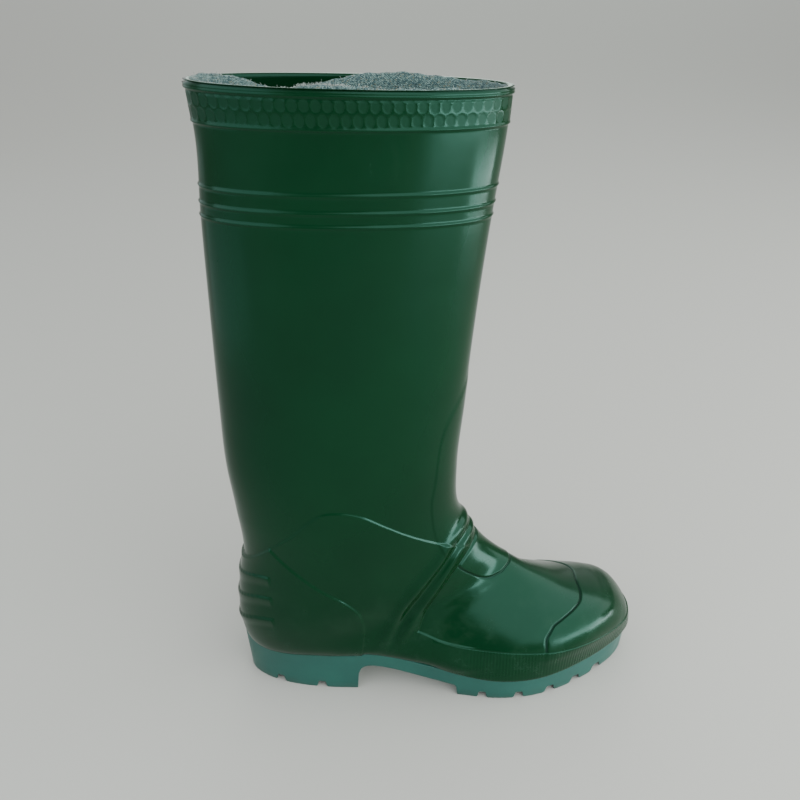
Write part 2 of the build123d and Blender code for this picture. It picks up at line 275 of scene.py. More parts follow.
def ring_at(section, turns):
    """Points of one section; turn 0 is its front, a half turn its back."""
    bx, bz, fx, fz, half, mid, widest, nb, nf = section
    forward, aside = np.cos(turns), np.sin(turns)
    n = np.where(forward > 0, nf, nb)
    reach = np.sign(forward) * np.abs(forward) ** (2 / n)
    along = widest + np.where(reach > 0, 1 - widest, widest) * reach
    across = half * np.sign(aside) * np.abs(aside) ** (2 / n)
    return np.column_stack([bx + (fx - bx) * along, mid + across, bz + (fz - bz) * along])


def form_grid(marks, columns=COLUMNS):
    """Rows of evenly spaced points round the boot, with each row's centre y."""
    fine = np.linspace(0, 2 * pi, 1441)
    rows = []
    sections = sections_at(np.asarray(marks, float))
    for section in sections:
        dense = ring_at(section, fine)
        arc = np.r_[0, np.cumsum(np.linalg.norm(np.diff(dense, axis=0), axis=1))]
        turns = np.interp(np.linspace(0, arc[-1], columns, endpoint=False), arc, fine)
        rows.append(ring_at(section, turns))
    return np.array(rows), sections[:, 5]


def along_grid(grid):
    """Steps down and round a grid that is closed round."""
    down = np.gradient(grid, axis=0)
    round_it = (np.roll(grid, -1, axis=1) - np.roll(grid, 1, axis=1)) / 2
    return down, round_it


def normals_of(grid):
    down, round_it = along_grid(grid)
    n = np.cross(down, round_it)
    n /= np.maximum(np.linalg.norm(n, axis=2, keepdims=True), 1e-9)
    outward = np.sum(n[:, 0] * np.array([1.0, 0, 0]), axis=1).mean()
    return n if outward > 0 else -n


def on_skin(field, down, round_it):
    """A signed plane distance turned into distance along the skin, close to its zero line."""
    f_down = np.gradient(field, axis=0)
    f_round = (np.roll(field, -1, axis=1) - np.roll(field, 1, axis=1)) / 2
    e = (down * down).sum(2)
    f = (down * round_it).sum(2)
    g = (round_it * round_it).sum(2)
    rise = g * f_down ** 2 - 2 * f * f_down * f_round + e * f_round ** 2
    steep = np.sqrt(np.maximum(rise / np.maximum(e * g - f * f, 1e-9), 0))
    return field / np.clip(steep, 0.35, 2.0)


# ---- relief on the upper -----------------------------------------------------------------
def top_band_relief(drop, turn_share):
    """Bead, dotted band and ribs by the distance below the rim, and how matt each place is."""
    band_end = BEAD_TALL + BAND_TALL
    out = BEAD_OUT * (1 - smooth(drop, BEAD_TALL - 0.4, BEAD_TALL + 0.5))
    for place, deep, half in BEAD_CUTS:
        out -= deep * hump(drop - place, half)
    inside = smooth(drop, BEAD_TALL, BEAD_TALL + 0.7) * (1 - smooth(drop, band_end, band_end + 0.9))
    out += BAND_OUT * inside
    out += BAND_LIP * hump(drop - band_end + 0.2, 0.75)
    pitch = 1.0 / DOTS_ROUND
    matt = np.zeros(drop.shape)
    for row, middle in enumerate(DOT_ROWS):
        place = (turn_share + 0.5 * pitch * row) % pitch
        aside = (place - pitch / 2) / (DOT_HALF * pitch)
        tall = (drop - middle) / (DOT_TALL / 2)
        matt += 1 - smooth(np.hypot(aside, tall), 0.86, 1.02)
    out -= DOT_DEEP * matt
    for rib in RIB_DROPS:
        out += RIB_OUT * hump(drop - rib, RIB_HALF)
    return out, matt


def lower_relief(x, aside, z, measure):
    """Raised panels, ridges and edges of the foot and ankle, and how much painted shade the fine
    grooves get.
    """
    below_gaiter = measure(off_line(GAITER, x, z))
    behind_ridge = measure(off_line(RIDGE_BACK, x, z))
    ridge_front = measure(off_line(RIDGE_FRONT, x, z))
    crease = measure(off_line(CREASE, x, z))
    ahead_vamp = -measure(off_line(VAMP_EDGE, x, z))
    above_rand = -measure(off_line(RAND_TOP, x, z))
    counter = measure(off_line(COUNTER, x, z))
    shin = -measure(off_line(SHIN, x, z))
    cap = measure(x - through(CAP_EDGE, np.clip(aside, 0, SIDE_REACH))[..., 0])
    tongue = measure(through(TONGUE, np.clip(aside, 0, TONGUE_HALF))[..., 0] - x)

    low = smooth(z, 36, 66)
    above_band = np.maximum(smooth(above_rand, -0.8, 0.8), smooth(x, 6, 26))
    vamp = smooth(ahead_vamp, -0.8, 0.8) * above_band
    raised = smooth(below_gaiter, -0.75, 0.75)
    out = QUARTER_UP * raised * (1 - vamp)
    below_shin_top = 1 - smooth(z, 232, 252)
    out += SHIN_UP * smooth(shin, -0.7, 0.7) * smooth(behind_ridge, -4, 4) * below_shin_top
    out += COUNTER_UP * smooth(counter, -0.65, 0.65) * raised
    for (up, half), field in zip(RIDGES, (behind_ridge, ridge_front)):
        out += up * low * hump(field, half)
    out -= CREASE_CUT[0] * low * hump(crease, CREASE_CUT[1])
    out -= VAMP_CUT[0] * low * hump(ahead_vamp - 0.6, VAMP_CUT[1])
    on_top = smooth(ahead_vamp, 0.0, 2.0) * (1 - smooth(aside, 20.5, 23.0))
    tongue_groove = on_top * hump(tongue + 0.6, TONGUE_CUT[1])
    cap_groove = hump(cap, CAP_CUT[1]) * smooth(above_rand, -1.0, 0.5)
    out += TONGUE_UP * on_top * smooth(tongue, -0.9, 0.9) - TONGUE_CUT[0] * tongue_groove
    out += CAP_UP * smooth(cap, -0.7, 0.7) - CAP_CUT[0] * cap_groove
    # The second value is painted shade: how far the cap and tongue grooves are darkened.
    return out, np.clip(cap_groove + 0.7 * tongue_groove, 0, 1)


def heel_bar_relief(x, z):
    """The kick-off bars: a soft rise from below to a sharp upper edge."""
    out = np.zeros(x.shape)
    back = np.clip((BAR_FRONT - x) / BAR_LONG, 0, 1.2)
    for top in BAR_TOPS:
        high = top - BAR_SINK * back ** 2
        bar = smooth(z, high - BAR_TALL - 4.0, high - 1.2) * (1 - smooth(z, high - 0.5, high + 0.3))
        out += BAR_OUT * bar * (1 - smooth(x, BAR_FRONT - 0.7, BAR_FRONT + 0.7))
    return out


def upper_rows():
    """Distances below the rim of the upper's rows, closer where there is relief."""
    zones = ((1.4, 21.5, 0.55), (21.5, 48.0, 2.6), (48.0, 70.5, 0.6), (70.5, 150.0, 3.4),
             (150.0, 238.0, 2.4), (238.0, LONG, 0.7))
    rows = [np.arange(start, end, gap) for start, end, gap in zones]
    return np.r_[np.concatenate(rows), LONG]


def outer_skin():
    """The upper's outside as a grid, with how matt each point is and how much painted shade its
    grooves get.
    """
    rows = upper_rows()
    grid, middle = form_grid(rows)
    normal = normals_of(grid)
    down, round_it = along_grid(grid)
    x, y, z = grid[..., 0], grid[..., 1], grid[..., 2]
    aside = np.abs(y - middle[:, None])
    drop = np.broadcast_to(rows[:, None], x.shape)
    share = np.broadcast_to(np.arange(COLUMNS) / COLUMNS, x.shape)

    def measure(field):
        return on_skin(field, down, round_it)

    band, matt = top_band_relief(drop, share)
    lower, groove_shade = lower_relief(x, aside, z, measure)
    foot = smooth(drop, *FOOT_STARTS)
    out = band + foot * (lower + heel_bar_relief(x, z))
    return grid + normal * out[..., None], matt, foot * groove_shade


# ---- meshes ------------------------------------------------------------------------------
def tube_faces(rows, columns, close_round=True):
    last = columns if close_round else columns - 1
    k, j = np.meshgrid(np.arange(rows - 1), np.arange(last), indexing="ij")
    a = k * columns + j
    b = k * columns + (j + 1) % columns
    return np.stack([a, b, b + columns, a + columns], axis=-1).reshape(-1, 4)


def add_mesh(name, points, faces, material):
    """An object from points in mm and faces."""
    mesh = bpy.data.meshes.new(name)
    mesh.from_pydata((np.asarray(points) * MM).tolist(), [], [list(map(int, f)) for f in faces])
    mesh.validate()
    mesh.update()
    piece = bpy.data.objects.new(name, mesh)
    bpy.context.scene.collection.objects.link(piece)
    mesh.materials.append(material)
    mesh.shade_smooth()
    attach(piece, "root")
    return piece


def closed_tube(grid):
    """Points and faces of a grid that is closed round and capped at both ends."""
    rows, columns = grid.shape[:2]
    points = grid.reshape(-1, 3)
    faces = tube_faces(rows, columns).tolist()
    start, end = grid[0].mean(axis=0), grid[-1].mean(axis=0)
    points = np.vstack([points, start, end])
    base = (rows - 1) * columns
    for j in range(columns):
        after = (j + 1) % columns
        faces.append([after, j, rows * columns])
        faces.append([base + j, base + after, rows * columns + 1])
    return points, faces


def merged(piece, distance=0.00002):
    """Points at one place made one, and all faces turned outwards."""
    mesh = bmesh.new()
    mesh.from_mesh(piece.data)
    bmesh.ops.remove_doubles(mesh, verts=mesh.verts, dist=distance)
    bmesh.ops.dissolve_degenerate(mesh, edges=mesh.edges, dist=distance / 4)
    bmesh.ops.recalc_face_normals(mesh, faces=mesh.faces)
    mesh.to_mesh(piece.data)
    mesh.free()
    piece.data.update()


def offset_form(marks, depth):
    """The boot form's grid moved in by a depth, one for all points or one for each."""
    grid, _ = form_grid(marks)
    depth = np.asarray(depth, float)
    return grid - normals_of(grid) * (depth[..., None] if depth.ndim else depth)


def sole_loop():
    """The sole's plan outline from the heel round the outer side, the toe and the inner side."""
    loop = [HEEL_BACK] + [(x, y) for x, y, _ in OUTLINE] + [TOE_TIP]
    loop += [(x, y) for x, _, y in reversed(OUTLINE)]
    lap = 4              # points repeated past each end, so that the curve closes smoothly
    wrapped = np.array(loop[-lap:] + loop + loop[:lap + 1])
    marks = np.r_[0, np.cumsum(np.hypot(*np.diff(wrapped, axis=0).T))]
    start, end = marks[lap], marks[lap + len(loop)]
    toe = marks[lap + len(OUTLINE) + 1]
    at = np.linspace(start, end, 4001)
    return through(np.column_stack([marks, wrapped]), at), at - start, toe - start


LOOP, LOOP_ARC, LOOP_TOE = sole_loop()


def loop_normals():
    """Directions square to the outline, pointing out of the sole."""
    step = np.gradient(LOOP, axis=0)
    step[0] = step[-1] = (LOOP[1] - LOOP[-2]) / 2
    n = np.column_stack([step[:, 1], -step[:, 0]])
    n /= np.linalg.norm(n, axis=1, keepdims=True)
    outward = (n * (LOOP - LOOP.mean(axis=0))).sum()
    return n if outward > 0 else -n


LOOP_OUT = loop_normals()


def loop_at(arc, out=0.0):
    """Plan points at distances along the outline, moved out square to it."""
    points = np.column_stack([np.interp(arc, LOOP_ARC, LOOP[:, k]) for k in (0, 1)])
    push = np.column_stack([np.interp(arc, LOOP_ARC, LOOP_OUT[:, k]) for k in (0, 1)])
    return points + push * np.asarray(out, float).reshape(-1, 1)


# ---- materials ---------------------------------------------------------------------------
class Nodes:
    """A short way to write a material's nodes."""

    def __init__(self, name):
        self.material = bpy.data.materials.new(name)
        self.material.use_nodes = True
        self.tree = self.material.node_tree
        self.shader = self.tree.nodes["Principled BSDF"]
        self.place = self.add("ShaderNodeTexCoord").outputs["Object"]

    def add(self, kind, **settings):
        node = self.tree.nodes.new(kind)
        for key, value in settings.items():
            setattr(node, key, value)
        return node

    def link(self, source, target):
        self.tree.links.new(source, target)

    def fill(self, socket, value):
        if hasattr(value, "is_linked"):
            self.link(value, socket)
        else:
            socket.default_value = value

    def noise(self, scale, detail=3.0, roughness=0.5, vector=None, warp=0.0):
        node = self.add("ShaderNodeTexNoise")
        self.link(vector or self.place, node.inputs["Vector"])
        node.inputs["Scale"].default_value = scale
        node.inputs["Detail"].default_value = detail
        node.inputs["Roughness"].default_value = roughness
        node.inputs["Distortion"].default_value = warp
        return node.outputs["Fac"]

    def stretched(self, x, y, z):
        node = self.add("ShaderNodeMapping")
        self.link(self.place, node.inputs["Vector"])
        node.inputs["Scale"].default_value = (x, y, z)
        return node.outputs["Vector"]

    def ranged(self, value, low, high, to_low=0.0, to_high=1.0):
        node = self.add("ShaderNodeMapRange", clamp=True)
        self.link(value, node.inputs["Value"])
        for socket, number in zip(("From Min", "From Max", "To Min", "To Max"),
                                  (low, high, to_low, to_high)):
            node.inputs[socket].default_value = number
        return node.outputs["Result"]

    def maths(self, operation, a, b=0.0):
        node = self.add("ShaderNodeMath", operation=operation)
        self.fill(node.inputs[0], a)
        self.fill(node.inputs[1], b)
        return node.outputs["Value"]

    def mixed(self, share, a, b):
        node = self.add("ShaderNodeMix", data_type="RGBA")
        self.fill(node.inputs["Factor"], share)
        self.fill(node.inputs[6], a)
        self.fill(node.inputs[7], b)
        return node.outputs[2]

    def painted(self, name):
        return self.add("ShaderNodeAttribute", attribute_name=name).outputs["Fac"]

    def height_of(self):
        node = self.add("ShaderNodeSeparateXYZ")
        self.link(self.place, node.inputs["Vector"])
        return node.outputs["Z"]

    def bumps(self, *layers):
        """Bump layers of (height, strength, distance), coarse first."""
        normal = None
        for level, strength, distance in layers:
            node = self.add("ShaderNodeBump")
            node.inputs["Strength"].default_value = strength
            node.inputs["Distance"].default_value = distance
            self.link(level, node.inputs["Height"])
            if normal is not None:
                self.link(normal, node.inputs["Normal"])
            normal = node.outputs["Normal"]
        self.link(normal, self.shader.inputs["Normal"])

    def set(self, **values):
        for key, value in values.items():
            self.fill(self.shader.inputs[key.replace("_", " ")], value)


def glossy_green():
    """Moulded green plastic: glossy, slightly wavy, with scuffs, a little dust low down and painted
    shade in the foot's fine grooves.
    """
    m = Nodes("boot_green")
    tone = m.ranged(m.noise(9, 4, 0.6), 0.35, 0.65)
    colour = m.mixed(tone, (0.0002, 0.0132, 0.0029, 1), (0.0004, 0.0172, 0.0043, 1))
    low = m.ranged(m.height_of(), 0.02, 0.11, 1.0, 0.0)
    dust = m.maths("MULTIPLY", m.ranged(m.noise(70, 5, 0.7), 0.50, 0.75), low)
    colour = m.mixed(m.maths("MULTIPLY", dust, 0.10), colour, (0.06, 0.09, 0.07, 1))
    matt, groove_shade = m.painted("matt"), m.painted("groove_shade")
    # Painted shade: the colour goes towards near black in the cap and tongue grooves, which are also
    # made rougher.
    colour = m.mixed(m.maths("MULTIPLY", groove_shade, 0.85), colour, (0.0003, 0.004, 0.0016, 1))
    scuffs = m.ranged(m.noise(28, 6, 0.75, m.stretched(1.0, 1.0, 0.25), 0.8), 0.60, 0.74)
    rough = m.ranged(m.noise(16, 4, 0.6), 0.3, 0.7, 0.15, 0.23)
    rough = m.maths("ADD", rough, m.maths("MULTIPLY", scuffs, 0.09))
    rough = m.maths("ADD", rough, m.maths("MULTIPLY", dust, 0.22))
    rough = m.maths("ADD", rough, m.maths("MULTIPLY", matt, 0.24))
    rough = m.maths("ADD", rough, m.maths("MULTIPLY", groove_shade, 0.35))
    m.set(Base_Color=colour, Roughness=rough, IOR=1.32, Specular_Tint=(0.45, 1.0, 0.87, 1))
    m.bumps((m.noise(14, 2, 0.45), 0.30, 0.0022), (m.noise(60, 3, 0.5), 0.14, 0.0006),
            (m.noise(1500, 2, 0.5), 0.05, 0.0001))
    return m.material


def teal_rubber():
    """Satin sole rubber, faintly mottled, with dirt where it meets the floor."""
    m = Nodes("sole_teal")
    tone = m.ranged(m.noise(24, 5, 0.65), 0.35, 0.68)
    colour = m.mixed(tone, (0.0050, 0.053, 0.043, 1), (0.0076, 0.067, 0.053, 1))
    low = m.ranged(m.height_of(), 0.0, 0.008, 1.0, 0.0)
    dirt = m.maths("MULTIPLY", m.ranged(m.noise(120, 6, 0.7), 0.42, 0.66), low)
    colour = m.mixed(m.maths("MULTIPLY", dirt, 0.5), colour, (0.016, 0.028, 0.02, 1))
    marks = m.ranged(m.noise(55, 6, 0.8, m.stretched(0.4, 0.4, 1.4), 0.6), 0.60, 0.78)
    colour = m.mixed(m.maths("MULTIPLY", marks, 0.22), colour, (0.024, 0.10, 0.08, 1))
    shade = m.maths("MULTIPLY", m.painted("groove"), 0.8)
    colour = m.mixed(shade, colour, (0.002, 0.010, 0.008, 1))
    rough = m.ranged(m.noise(40, 5, 0.6), 0.3, 0.7, 0.30, 0.44)
    m.set(Base_Color=colour, Roughness=rough, IOR=1.40)
    m.bumps((m.noise(45, 3, 0.5), 0.2, 0.0006), (m.noise(900, 3, 0.6), 0.12, 0.00015))
    return m.material


def knit():
    """Flecked knitted cotton, its stitches laid out by the piece's own map, one unit a stitch, with
    painted shade where the stitch loops dip.
    """
    m = Nodes("knit_grey")
    stitch = m.add("ShaderNodeUVMap", uv_map="stitches").outputs["UV"]
    split = m.add("ShaderNodeSeparateXYZ")
    m.link(stitch, split.inputs["Vector"])
    across, up = split.outputs["X"], split.outputs["Y"]
    lean = m.maths("ABSOLUTE", m.maths("SUBTRACT", m.maths("FRACT", across), 0.5))
    course = m.maths("ADD", up, m.maths("MULTIPLY", lean, 1.3))
    wave = m.maths("SINE", m.maths("MULTIPLY", course, 2 * pi))
    rib = m.maths("SINE", m.maths("MULTIPLY", lean, 2 * pi))
    loops = m.maths("ADD", m.maths("MULTIPLY", wave, 0.5), rib)
    cell = m.add("ShaderNodeTexVoronoi", feature="F1")
    m.link(stitch, cell.inputs["Vector"])
    cell.inputs["Scale"].default_value = 2.1
    pick = m.add("ShaderNodeSeparateColor")
    m.link(cell.outputs["Color"], pick.inputs["Color"])
    yarn = m.ranged(pick.outputs["Red"], 0.1, 0.9)
    dark = m.ranged(pick.outputs["Green"], 0.80, 0.86)
    tan_fleck = m.ranged(pick.outputs["Blue"], 0.90, 0.96)
    colour = m.mixed(yarn, (0.030, 0.085, 0.088, 1), (0.20, 0.30, 0.285, 1))
    colour = m.mixed(dark, colour, (0.02, 0.07, 0.085, 1))
    colour = m.mixed(tan_fleck, colour, (0.18, 0.20, 0.15, 1))
    # Painted shade: the colour darkens towards near black where the stitch loops dip, between the
    # stitches.
    colour = m.mixed(m.ranged(loops, -0.6, 0.9, 0.6, 0.0), colour, (0.008, 0.018, 0.018, 1))
    m.set(Base_Color=colour, Roughness=0.92, Sheen_Weight=0.25)
    m.bumps((loops, 0.7, 0.0005), (m.noise(2600, 4, 0.7), 0.5, 0.0002))
    return m.material


def felt():
    """Pressed grey felt."""
    m = Nodes("insole_felt")
    fibres = m.noise(900, 6, 0.75, m.stretched(1.0, 0.5, 1.0), 1.2)
    colour = m.mixed(m.ranged(fibres, 0.3, 0.7), (0.05, 0.055, 0.055, 1), (0.13, 0.135, 0.13, 1))
    worn = m.ranged(m.noise(22, 4, 0.6), 0.45, 0.7)
    colour = m.mixed(m.maths("MULTIPLY", worn, 0.35), colour, (0.12, 0.11, 0.09, 1))
    m.set(Base_Color=colour, Roughness=0.95, Sheen_Weight=0.2)
    m.bumps((worn, 0.2, 0.0006), (fibres, 0.6, 0.0004))
    return m.material


def fuzz():
    """Loose cotton fibres."""
    m = Nodes("fibre_white")
    tone = m.ranged(m.noise(700, 2), 0.35, 0.65)
    m.set(Base_Color=m.mixed(tone, (0.22, 0.25, 0.24, 1), (0.40, 0.43, 0.41, 1)), Roughness=0.9)
    return m.material


# ---- pieces ------------------------------------------------------------------------------
def paint(piece, name, values):
    """A number for each point of a piece, for its material to read."""
    layer = piece.data.attributes.new(name, "FLOAT", "POINT")
    layer.data.foreach_set("value", np.asarray(values, dtype=np.float32))


def build_upper(material, skin, matt, groove_shade):
    """The moulded upper: outer skin with its relief, rolled rim and inner wall, in one piece."""
    drops, outs = np.array(RIM).T
    lip = offset_form(drops + 0.001, -outs[:, None] * np.ones(COLUMNS))
    inner_marks = np.r_[np.arange(2.5, 30, 3.0), np.arange(30, LONG - 4, 6.0), LONG - 3]
    inner = offset_form(inner_marks, WALL)[::-1]
    grid = np.concatenate([inner, lip, skin])
    piece = add_mesh("boot_upper", *closed_tube(grid), material)
    before = (len(inner) + len(lip)) * COLUMNS
    caps = (0, 0)        # the two points that close the tube's ends
    # Besides the matt dots, the upper carries the painted shade of the foot's fine grooves.
    for name, values in (("matt", matt), ("groove_shade", groove_shade)):
        paint(piece, name, np.r_[np.zeros(before), values.ravel(), caps])
    merged(piece)
    return piece


def skin_reach(arc, level, skin_tree):
    """How far out of the sole's outline the upper's skin stands, at a height for each place.

    Where a place looks over the toe and meets no skin close by, it takes its neighbours' value.
    """
    starts = loop_at(arc, RAND_CLEAR)
    aims = loop_at(arc) - starts
    reach = np.zeros(len(arc))
    for k, (x, y, z) in enumerate(np.column_stack([starts, level])):
        hit = skin_tree.ray_cast(Vector((x, y, z)) * MM, Vector((*aims[k], 0.0)).normalized())
        if hit[0] is not None:
            reach[k] = RAND_CLEAR - hit[3] / MM
    near = (reach > -RAND_CLEAR / 2) & (reach != 0)
    return np.interp(arc, arc[near], reach[near])


def build_rand(material, skin_tree):
    """The ribbed strip round the forefoot, above the sole; its ends run flush into the quarters."""
    covered = LOOP_ARC[LOOP[:, 0] > RAND_BACK]
    start, end = covered.min(), covered.max()
    ribs = int((end - start) / RAND_PITCH)
    arc = np.linspace(start, end, ribs * RAND_STEPS + 1)
    x = loop_at(arc)[:, 0]
    ribbed = RAND_RIB * np.cos(np.arange(len(arc)) / RAND_STEPS * 2 * pi) * smooth(x, -4, 25)
    leaves = smooth(x, -12, 20)
    flush = 0.06 - 0.6 * (1 - smooth(x, RAND_BACK + 0.5, RAND_BACK + 5))
    bottom, top = height(TOP_EDGE, x), height(RAND_TOP, x)
    crest = skin_reach(arc, top - 0.8, skin_tree) + RAND_LEDGE

    def face(level):
        """How far out the strip stands: its own wall in front, flush with the skin at its ends."""
        skin = skin_reach(arc, level, skin_tree)
        share = np.clip((level - bottom) / (top - bottom), 0, 1)
        wall = np.maximum(RAND_OUT + (crest - RAND_OUT) * share ** 1.7, skin + 0.25)
        return (skin + flush) * (1 - leaves) + wall * leaves

    def row(level, sunk=0.0, ribbing=0.0):
        return np.column_stack([loop_at(arc, face(level) - sunk + ribbing * ribbed), level])

    foot = face(bottom + 0.6)

    def foot_row(up, sunk, ribbing=0.0):
        return np.column_stack([loop_at(arc, foot - sunk + ribbing * ribbed), bottom + up])

    rows = [foot_row(0.1, 3.6), foot_row(0.0, 0.5), foot_row(0.15, 0.15),
            foot_row(0.6, 0.0, 0.3)]
    for share in np.linspace(0.06, 0.9, 9):
        rows.append(row(bottom + 0.9 + (top - bottom - 2.4) * share, 0.0, 1.0))
    rows += [row(top - 1.2, 0.02, 0.8), row(top - 0.7, 0.12, 0.4), row(top - 0.35, 0.4)]
    for up, sunk in ((-0.1, 1.0), (0.1, 3.2), (-4.0, 3.6)):
        rows.append(np.column_stack([loop_at(arc, crest - sunk - 1.2 * (1 - leaves)), top + up]))
    rows.append(rows[0])
    faces = tube_faces(len(rows), len(arc), close_round=False).tolist()
    columns = len(arc)
    for column in (0, columns - 1):
        faces.append([k * columns + column for k in range(len(rows) - 1)])
    piece = add_mesh("boot_rand", np.array(rows).reshape(-1, 3), faces, material)
    merged(piece)
    return piece


def tread_profile():
    """The underside along the boot as (place, height) with every edge of every groove."""
    cut = [(-off, up) for off, up in GROOVE_SIDE]
    cut += [(off, up) for off, up in reversed(GROOVE_SIDE)]
    line = [(HEEL_BACK[0], 0.0)]
    for middle in HEEL_GROOVES:
        line += [(middle + off, up) for off, up in cut]
    line += [(HEEL_BREAST - 0.9, 0.0), (HEEL_BREAST - 0.3, 0.1), (HEEL_BREAST, 0.6),
             (HEEL_BREAST + 0.7, 12.0), (HEEL_BREAST + 1.1, 15.5)]
    line += list(ARCH)
    line += [(TREAD_BACK - 0.3, 8.0), (TREAD_BACK + 1.1, 1.0), (TREAD_BACK + 1.5, 0.3),
             (TREAD_BACK + 2.1, 0.0)]
    for middle in FORE_GROOVES:
        line += [(middle + off, up) for off, up in cut]
    line.append((TOE_TIP[0], 0.0))
    return np.array(line, float)


def lean_at(x):
    """How much the grooves lean back at x: not at all under the heel or at the toe's tip."""
    return tan(GROOVE_LEAN) * smooth(x, 2, 24) * (1 - smooth(x, 124, 136))


def build_outsole(material, skin_tree):
    """The sole: a drafted side, a grooved underside and a top that the upper sits in."""
    half = int(np.searchsorted(LOOP_ARC, LOOP_TOE))
    outer = LOOP_ARC[:half + 1]
    inner = LOOP_ARC[half:][::-1]
    profile = tread_profile()

    def chevron(arc):
        points = loop_at(arc)
        return points[:, 0] + lean_at(points[:, 0]) * np.abs(points[:, 1] - GROOVE_MIDDLE_Y)

    outer_mark = np.maximum.accumulate(chevron(outer))
    inner_mark = np.maximum.accumulate(chevron(inner))
    evenly = np.interp(np.arange(0.0, outer[-1], SOLE_STEP), outer, outer_mark)
    spare = np.min(np.abs(evenly[:, None] - profile[None, :, 0]), axis=1) > 0.5
    stations = np.unique(np.r_[evenly[spare], profile[:, 0]])
    stations = stations[(stations >= outer_mark[0]) & (stations <= outer_mark[-1])]
    under = np.interp(stations, profile[:, 0], profile[:, 1])
    arcs = (np.interp(stations, outer_mark, outer), np.interp(stations, inner_mark, inner))
    sides = []
    for arc in arcs:
        x = loop_at(arc)[:, 0]
        top = height(TOP_EDGE, x)
        floor = under + height(TOE_SPRING, x)
        rows = []
        for share in np.r_[np.linspace(1.0, 0.80, 6), np.linspace(0.7, 0.0, 6)]:
            z = floor + 0.9 + (top - floor - 0.9) * share
            rows.append(np.column_stack([loop_at(arc, -SOLE_DRAFT * (1 - z / SOLE_RISE)), z]))
        for up, inset in ((0.35, 0.15), (0.08, 0.45), (0.0, 0.95)):
            z = floor + up
            out = -SOLE_DRAFT * (1 - z / SOLE_RISE) - inset
            rows.append(np.column_stack([loop_at(arc, out), z]))
        rim = np.column_stack([loop_at(arc, -SOLE_DRAFT * (1 - top / SOLE_RISE) - 0.5), top])
        rows[0][:, 2] -= 0.35
        rows.insert(0, rim)
        sides.append(np.array(rows))
    share = np.linspace(0, 1, 29)[1:-1]
    left, right = sides[0][-1], sides[1][-1]
    bottom = []
    for s in share:
        point = left * (1 - s) + right * s
        aside = np.abs(point[:, 1] - GROOVE_MIDDLE_Y)
        point[:, 0] = stations_x(left, right, s, aside)
        bottom.append(point)
    top_left, top_right = sides[0][0], sides[1][0]
    top = []
    for s in share[::-1]:
        point = top_left * (1 - s) + top_right * s
        top.append(settled(point, skin_tree))
    ring = np.concatenate([sides[0], np.array(bottom), sides[1][::-1], np.array(top)])
    grid = np.transpose(ring, (1, 0, 2))
    piece = add_mesh("boot_outsole", *closed_tube(grid), material)
    grooves = np.array(HEEL_GROOVES + FORE_GROOVES)
    in_groove = np.min(np.abs(stations[:, None] - grooves[None, :]), axis=1) < GROOVE_HALF
    shaded = np.zeros(grid.shape[:2])
    edge = 3             # the rounded lower edge of each side is shaded with the underside
    shaded[in_groove, len(sides[0]) - edge:len(sides[0]) + len(bottom) + edge] = 1.0
    caps = (0, 0)
    paint(piece, "groove", np.r_[shaded.ravel(), caps])
    merged(piece)
    return piece


def stations_x(left, right, share, aside):
    """x of an underside point: a chevron between the two edges, its apex in the middle."""
    lean = lean_at((left[:, 0] + right[:, 0]) / 2)
    left_apex = left[:, 0] + lean * np.abs(left[:, 1] - GROOVE_MIDDLE_Y)
    right_apex = right[:, 0] + lean * np.abs(right[:, 1] - GROOVE_MIDDLE_Y)
    return left_apex * (1 - share) + right_apex * share - lean * aside


def settled(points, skin_tree, bite=1.4):
    """Top points of the sole lowered to just inside the upper that stands on them."""
    lowered = points.copy()
    for k, (x, y, z) in enumerate(points):
        hit = skin_tree.ray_cast(Vector((x, y, -20.0)) * MM, Vector((0, 0, 1)))
        if hit[0] is not None:
            lowered[k, 2] = min(z, hit[0].z / MM + bite)
    return lowered


def lining_top(turns):
    """How far the lining's edge stands above the rim, round the boot."""
    wave = 0.35 * np.sin(turns * 7 + 0.6) + 0.25 * np.sin(turns * 17 + 2.0) + 0.2 * np.sin(turns * 41)
    front = np.minimum(turns, 2 * pi - turns)
    stands = 0.2 + 1.0 * hump(turns - 1.3, 0.6) - 1.6 * hump(front, 0.7) + wave
    stands += 0.7 * hump(turns - 4.46, 0.22) - 1.8 * hump(turns - 3.85, 0.35)
    return stands - 9.0 * hump(turns - 2.1, 0.42)


def build_lining(material):
    """The knitted sock: one cloth with a thickness, from its wavy edge down to the toe."""
    columns = LINING_COLUMNS
    turns = np.linspace(0, 2 * pi, columns, endpoint=False)
    shares = np.r_[np.linspace(0, 0.12, 12), np.linspace(0.12, 1.0, 90)[1:]]
    places = shares * (LONG - LINING_SHORT)
    form, _ = form_grid(places, columns)
    normal = normals_of(form)
    rise = (1 - smooth(shares, 0.0, 0.10))[:, None] * lining_top(turns)[None, :]
    grids = []
    for depth in (WALL + LINING, WALL + 0.08):
        moved = form - normal * depth
        moved[..., 2] += rise
        grids.append(moved)
    inside, outside = grids
    edge = (inside[0] + outside[0]) / 2 + np.array([0, 0, 0.35])
    grid = np.concatenate([inside[::-1], edge[None], outside])
    points, faces = closed_tube(grid)
    piece = add_mesh("boot_lining", points, faces, material)
    layer = piece.data.uv_layers.new(name="stitches")
    round_mm = np.arange(columns) * LINING_GIRTH / columns
    along = np.r_[places[::-1], -0.5, places]
    table = np.zeros((len(points), 2))
    table[:len(along) * columns, 0] = np.tile(round_mm, len(along)) / STITCH_WIDE
    table[:len(along) * columns, 1] = np.repeat(along, columns) / STITCH_TALL
    loops = np.empty(len(piece.data.loops), dtype=np.int64)
    piece.data.loops.foreach_get("vertex_index", loops)
    layer.data.foreach_set("uv", table[loops].ravel())
    return piece, inside


